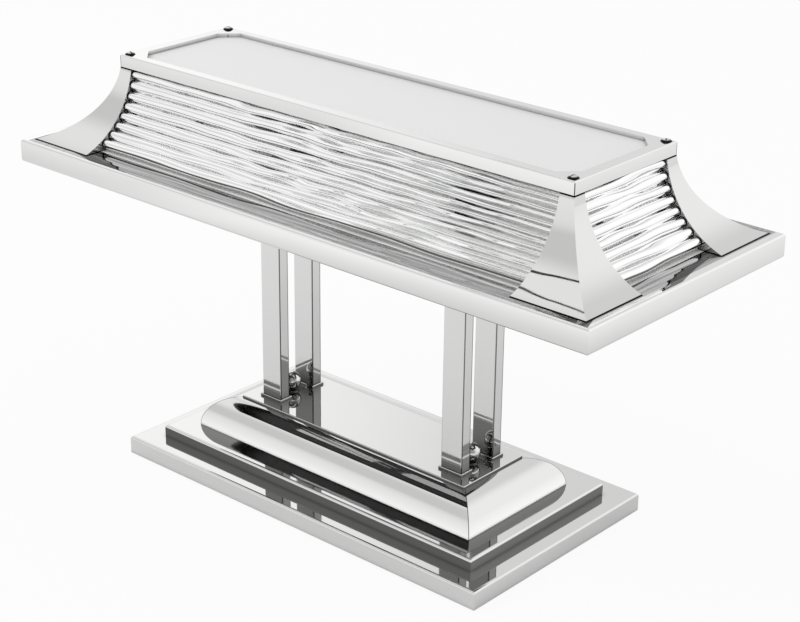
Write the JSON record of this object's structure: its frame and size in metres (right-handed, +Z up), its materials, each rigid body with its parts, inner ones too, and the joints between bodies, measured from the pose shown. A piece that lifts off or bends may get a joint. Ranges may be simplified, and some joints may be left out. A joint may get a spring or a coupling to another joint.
{
  "type": "desk lamp",
  "caption": "Oblong desk lamp: curtains of glass rods between concave corner pieces under a framed frosted pane, on a tray held by paired flat posts over a stepped base.",
  "frame": {"origin": "centre of the base's underside, at the desk top under the felt pad", "axes": "+X along the shade to the right end, +Y from the front to the back, +Z up"},
  "size_m": [0.52, 0.2164, 0.3],
  "materials": {
    "nickel": "mirror-polished nickel plate",
    "step": "polished nickel on top, toned darker on the upright sides",
    "clear_glass": "clear drawn glass rod, fire-polished",
    "frosted_glass": "satin-etched flat glass",
    "lamp_glass": "softly frosted tubular lamp glass",
    "steel": "plain zinc-plated steel, out of sight",
    "iron": "black-painted cast iron slab",
    "felt": "dark green felt",
    "rubber": "matt black rubber",
    "porcelain": "white glazed porcelain",
    "bakelite": "black moulded insulation"
  },
  "bodies": {
    "lamp_body": {"base_plinth": "nickel", "base_step": "step", "base_moulding": "nickel", "base_cap": "nickel", "base_weight": "iron", "base_cover": "steel", "base_felt": "felt", "cover_screws": "steel", "stack_bolts": "steel", "cord_inlet": "rubber", "terminal_block": "porcelain", "switch_left": "bakelite", "switch_right": "bakelite", "switch_nut_left": "nickel", "switch_nut_right": "nickel", "flange_left_front": "nickel", "flange_left_rear": "nickel", "flange_right_front": "nickel", "flange_right_rear": "nickel", "post_left_front": "nickel", "post_left_rear": "nickel", "post_right_front": "nickel", "post_right_rear": "nickel", "tie_left_front": "steel", "tie_left_rear": "steel", "tie_right_front": "steel", "tie_right_rear": "steel", "tie_nuts": "steel", "tray": "nickel", "crossbar_left": "steel", "crossbar_right": "steel", "crossbar_screws": "steel", "pane_left": "frosted_glass", "pane_centre": "frosted_glass", "pane_right": "frosted_glass", "bracket_left_front": "nickel", "bracket_left_rear": "nickel", "bracket_right_front": "nickel", "bracket_right_rear": "nickel", "bracket_screws": "steel", "rods_front": "clear_glass", "rods_rear": "clear_glass", "rods_left": "clear_glass", "rods_right": "clear_glass", "corner_pillars": "steel", "top_frame": "nickel", "top_glass": "frosted_glass", "glass_clips": "steel", "frame_screws": "nickel", "stand_left": "steel", "stand_right": "steel", "lampholder_left": "bakelite", "lampholder_right": "bakelite", "lamp_left": "lamp_glass", "lamp_right": "lamp_glass", "wires_left": "bakelite", "wires_right": "bakelite"},
    "left_knob": {"knob_left": "nickel"},
    "right_knob": {"knob_right": "nickel"}
  },
  "joints": [
    {"name": "left_knob_turn", "type": "hinge", "parent": "lamp_body", "child": "left_knob", "pos_m": [-0.088, 0, 0.0554], "axis": [0, 0, 1], "continuous": true},
    {"name": "right_knob_turn", "type": "hinge", "parent": "lamp_body", "child": "right_knob", "pos_m": [0.088, 0, 0.0554], "axis": [0, 0, 1], "continuous": true}
  ]
}
